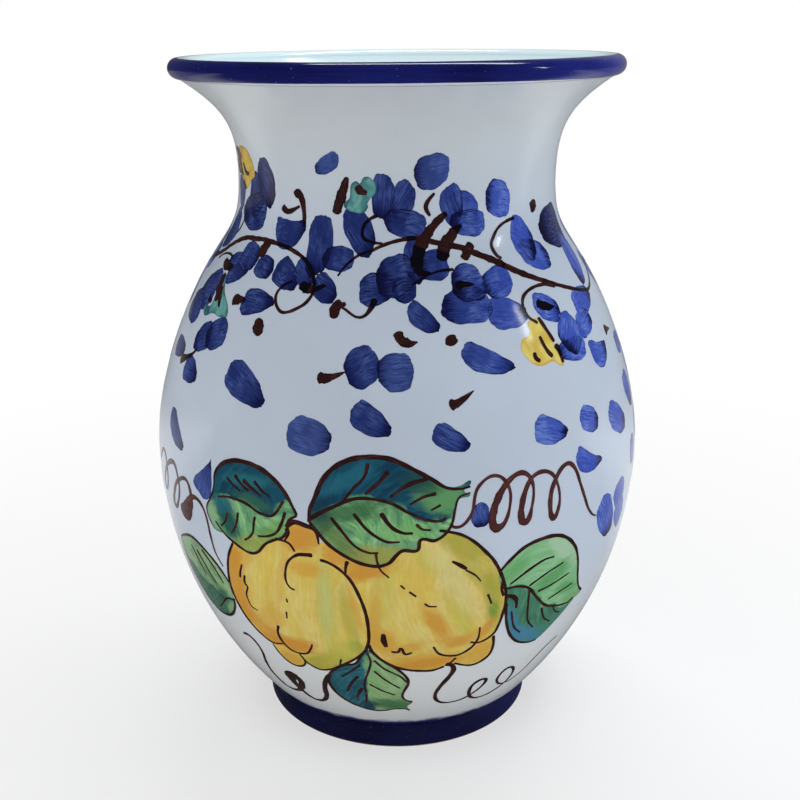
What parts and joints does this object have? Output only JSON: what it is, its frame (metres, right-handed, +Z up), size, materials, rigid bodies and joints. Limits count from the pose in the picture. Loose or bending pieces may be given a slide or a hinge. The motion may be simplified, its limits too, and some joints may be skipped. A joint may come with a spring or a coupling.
{
  "type": "flower vase",
  "caption": "Tall glazed ceramic flower vase with a full belly, drawn-in neck, flared mouth with a rolled rim, and a low round foot to stand on; holds water and cut stems.",
  "frame": {"origin": "centre of the standing ring, on the surface the vase stands on", "axes": "+Z up along the vase's axis of revolution; +X to the right and -Y towards the viewer of the painted front"},
  "size_m": [0.2192, 0.2192, 0.3],
  "materials": {
    "body_glaze": "cool white tin glaze, glossy, hand-painted with cobalt petals, lemons, leaves and brown line work",
    "rim_glaze": "cobalt blue glaze, glossy, with fine pale specks",
    "foot_glaze": "dark blue brushed glaze, satin gloss, bare clay on the standing ring"
  },
  "bodies": {
    "root": {"foot": "foot_glaze", "lower_belly": "body_glaze", "shoulder": "body_glaze", "neck": "body_glaze", "mouth": "body_glaze", "rim": "rim_glaze"}
  },
  "joints": []
}
